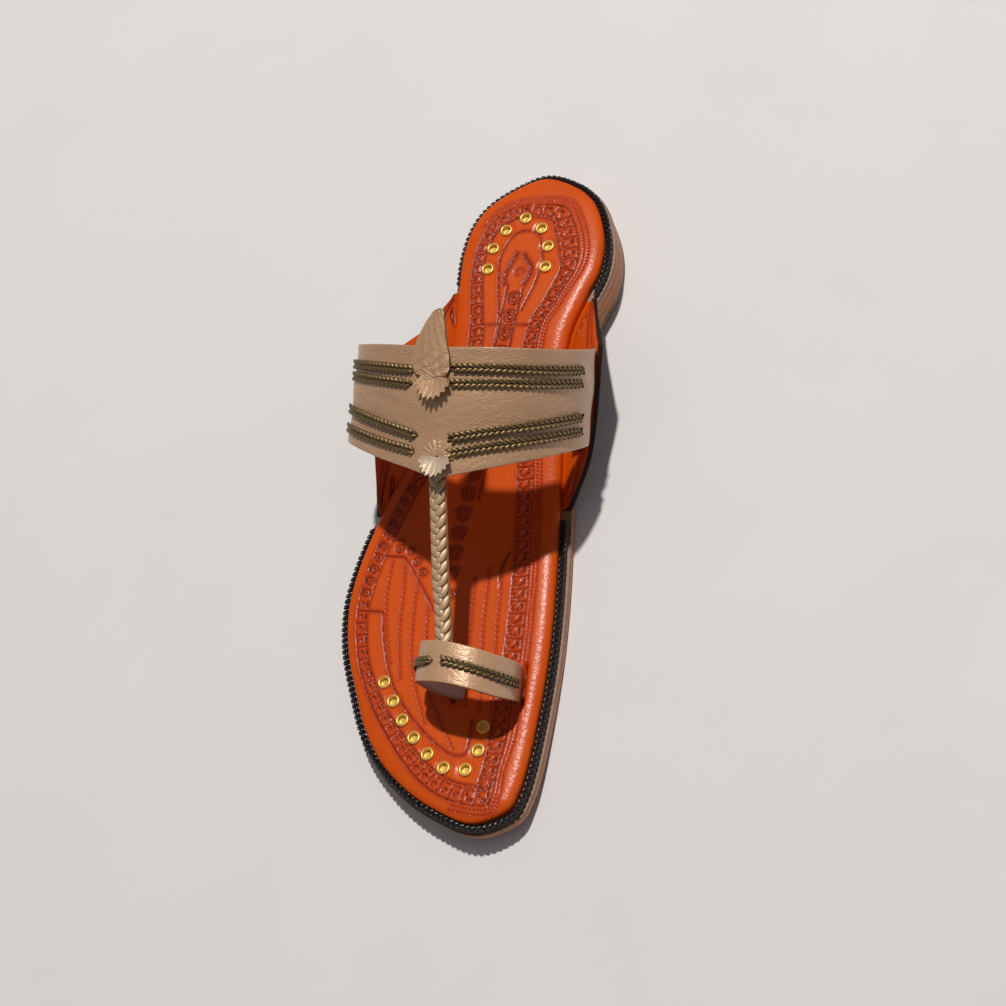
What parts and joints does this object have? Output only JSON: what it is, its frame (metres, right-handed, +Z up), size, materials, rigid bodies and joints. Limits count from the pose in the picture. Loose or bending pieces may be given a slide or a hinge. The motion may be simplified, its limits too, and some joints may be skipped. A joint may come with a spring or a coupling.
{
  "type": "kolhapuri sandal",
  "caption": "Flat leather sandal for the right foot with a tooled footbed, black braided edge, side ears, a wide instep band, a braided centre strap and a toe ring.",
  "frame": {"origin": "middle of the sandal's overall box, on the floor", "axes": "+Z up, +Y from toe to heel, +X towards the big toe side"},
  "size_m": [0.1024, 0.2702, 0.0824],
  "materials": {
    "footbed_leather": "glazed vegetable-tanned leather",
    "upper_leather": "pebbled taupe leather, satin",
    "sole_leather": "burnished cut edge",
    "midsole_leather": "burnished cut edge",
    "heel_rubber": "matte crepe rubber",
    "welt_cord": "glossy black plaited leather",
    "eyelet_brass": "polished"
  },
  "bodies": {
    "root": {"outsole": "sole_leather", "midsole": "midsole_leather", "heel_lift_upper": "sole_leather", "heel_lift_lower": "sole_leather", "heel_top_piece": "heel_rubber", "footbed": "footbed_leather", "ear_medial": "footbed_leather", "ear_lateral": "footbed_leather", "upper": "upper_leather", "leaf_tongue": "upper_leather", "rosette_lower": "upper_leather", "welt_heel": "welt_cord", "welt_forefoot": "welt_cord", "eyelet_toe_1": "eyelet_brass", "eyelet_toe_2": "eyelet_brass", "eyelet_toe_3": "eyelet_brass", "eyelet_toe_4": "eyelet_brass", "eyelet_toe_5": "eyelet_brass", "eyelet_toe_6": "eyelet_brass", "eyelet_toe_7": "eyelet_brass", "eyelet_toe_8": "eyelet_brass", "eyelet_toe_9": "eyelet_brass", "eyelet_heel_1": "eyelet_brass", "eyelet_heel_2": "eyelet_brass", "eyelet_heel_3": "eyelet_brass", "eyelet_heel_4": "eyelet_brass", "eyelet_heel_5": "eyelet_brass", "eyelet_heel_6": "eyelet_brass", "eyelet_heel_7": "eyelet_brass"}
  },
  "joints": []
}
